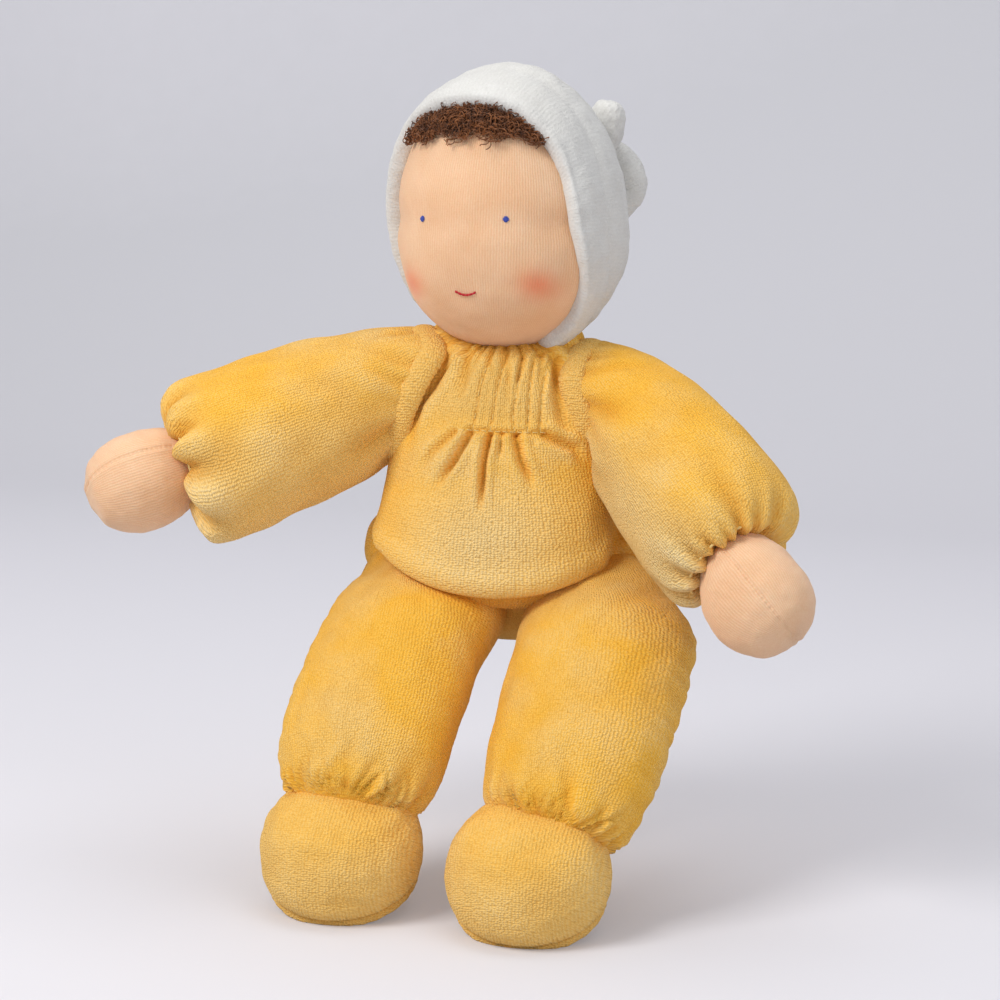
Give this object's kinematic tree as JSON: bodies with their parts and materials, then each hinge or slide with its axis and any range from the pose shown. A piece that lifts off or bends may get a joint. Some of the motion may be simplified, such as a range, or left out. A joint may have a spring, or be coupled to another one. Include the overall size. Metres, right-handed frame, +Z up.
{
  "type": "soft doll",
  "caption": "Soft seated doll with a round tricot head, a knotted hood, and a stuffed velour suit whose arms, legs, hands, feet and head turn.",
  "frame": {"origin": "on the flat seat that the doll sits on, on its middle plane, 4 mm behind the seat's front edge", "axes": "+Z up along the body, -Y the way the doll faces, +X towards the doll's left arm"},
  "size_m": [0.2966, 0.1771, 0.319],
  "materials": {
    "velour": "honey-yellow cotton velour, short soft pile",
    "skin_tricot": "peach cotton tricot, fine vertical wales, matt",
    "hood_terry": "warm white ribbed cotton terry, matt",
    "hair_boucle": "dark brown curled mohair yarn",
    "eye_thread": "blue embroidery thread, slight sheen",
    "mouth_thread": "red embroidery thread, slight sheen",
    "sewing_thread": "cotton sewing thread",
    "wool": "carded sheep's wool stuffing"
  },
  "bodies": {
    "torso": {"body_cover": "velour", "body_stuffing": "wool", "tuck_stitching": "sewing_thread", "collar_thread": "sewing_thread"},
    "neck": {"neck_tube": "skin_tricot", "neck_tie_thread": "sewing_thread", "neck_stuffing": "wool"},
    "head": {"head_cover": "skin_tricot", "head_stuffing": "wool", "eye_line_thread": "sewing_thread", "left_eye": "eye_thread", "right_eye": "eye_thread", "mouth_stitch": "mouth_thread", "hair_tuft": "hair_boucle", "hood": "hood_terry", "hood_knot": "hood_terry", "hood_tail": "hood_terry"},
    "left_shoulder": {"left_armhole_seam": "velour"},
    "left_arm": {"left_sleeve": "velour", "left_arm_stuffing": "wool", "left_cuff_thread": "sewing_thread"},
    "left_hand": {"left_hand": "skin_tricot", "left_hand_stuffing": "wool"},
    "left_leg": {"left_leg": "velour", "left_leg_stuffing": "wool", "left_ankle_thread": "sewing_thread"},
    "left_foot": {"left_foot_upper": "velour", "left_foot_sole": "velour", "left_foot_stuffing": "wool"},
    "right_shoulder": {"right_armhole_seam": "velour"},
    "right_arm": {"right_sleeve": "velour", "right_arm_stuffing": "wool", "right_cuff_thread": "sewing_thread"},
    "right_hand": {"right_hand": "skin_tricot", "right_hand_stuffing": "wool"},
    "right_leg": {"right_leg": "velour", "right_leg_stuffing": "wool", "right_ankle_thread": "sewing_thread"},
    "right_foot": {"right_foot_upper": "velour", "right_foot_sole": "velour", "right_foot_stuffing": "wool"}
  },
  "joints": [
    {"name": "neck_turn", "type": "hinge", "parent": "torso", "child": "neck", "pos_m": [-0.002, -0.012, 0.107], "axis": [0, 0, 1], "range_deg": [-26, 44]},
    {"name": "head_nod", "type": "hinge", "parent": "neck", "child": "head", "pos_m": [-0.002, -0.012, 0.164], "axis": [0.9877, -0.1564, 0], "range_deg": [-15, 15]},
    {"name": "left_arm_swing", "type": "hinge", "parent": "torso", "child": "left_shoulder", "pos_m": [0.04, -0.012, 0.098], "axis": [-1, 0, 0], "range_deg": [-80, 80]},
    {"name": "left_arm_lift", "type": "hinge", "parent": "left_shoulder", "child": "left_arm", "pos_m": [0.04, -0.012, 0.098], "axis": [0, -0.7308, 0.6826], "range_deg": [0, 75]},
    {"name": "left_hand_flex", "type": "hinge", "parent": "left_arm", "child": "left_hand", "pos_m": [0.10205, -0.0629, 0.04351], "axis": [0, -0.7308, 0.6826], "range_deg": [-18, 18]},
    {"name": "left_leg_swing", "type": "hinge", "parent": "torso", "child": "left_leg", "pos_m": [0.0314, -0.03, 0.0255], "axis": [-1, 0, 0], "range_deg": [-39.5, 50]},
    {"name": "left_foot_flex", "type": "hinge", "parent": "left_leg", "child": "left_foot", "pos_m": [0.0394, -0.08852, -0.04549], "axis": [1, 0, 0], "range_deg": [-20, 20]},
    {"name": "right_arm_swing", "type": "hinge", "parent": "torso", "child": "right_shoulder", "pos_m": [-0.04, -0.012, 0.098], "axis": [-1, 0, 0], "range_deg": [-80, 80]},
    {"name": "right_arm_lift", "type": "hinge", "parent": "right_shoulder", "child": "right_arm", "pos_m": [-0.04, -0.012, 0.098], "axis": [0, 0.634, -0.7733], "range_deg": [-21, 53]},
    {"name": "right_hand_flex", "type": "hinge", "parent": "right_arm", "child": "right_hand", "pos_m": [-0.12502, -0.04811, 0.0684], "axis": [0, 0.634, -0.7733], "range_deg": [-18, 18]},
    {"name": "right_leg_swing", "type": "hinge", "parent": "torso", "child": "right_leg", "pos_m": [-0.0314, -0.03, 0.0255], "axis": [-1, 0, 0], "range_deg": [-39.5, 50]},
    {"name": "right_foot_flex", "type": "hinge", "parent": "right_leg", "child": "right_foot", "pos_m": [-0.0394, -0.08852, -0.04549], "axis": [1, 0, 0], "range_deg": [-20, 20]}
  ]
}
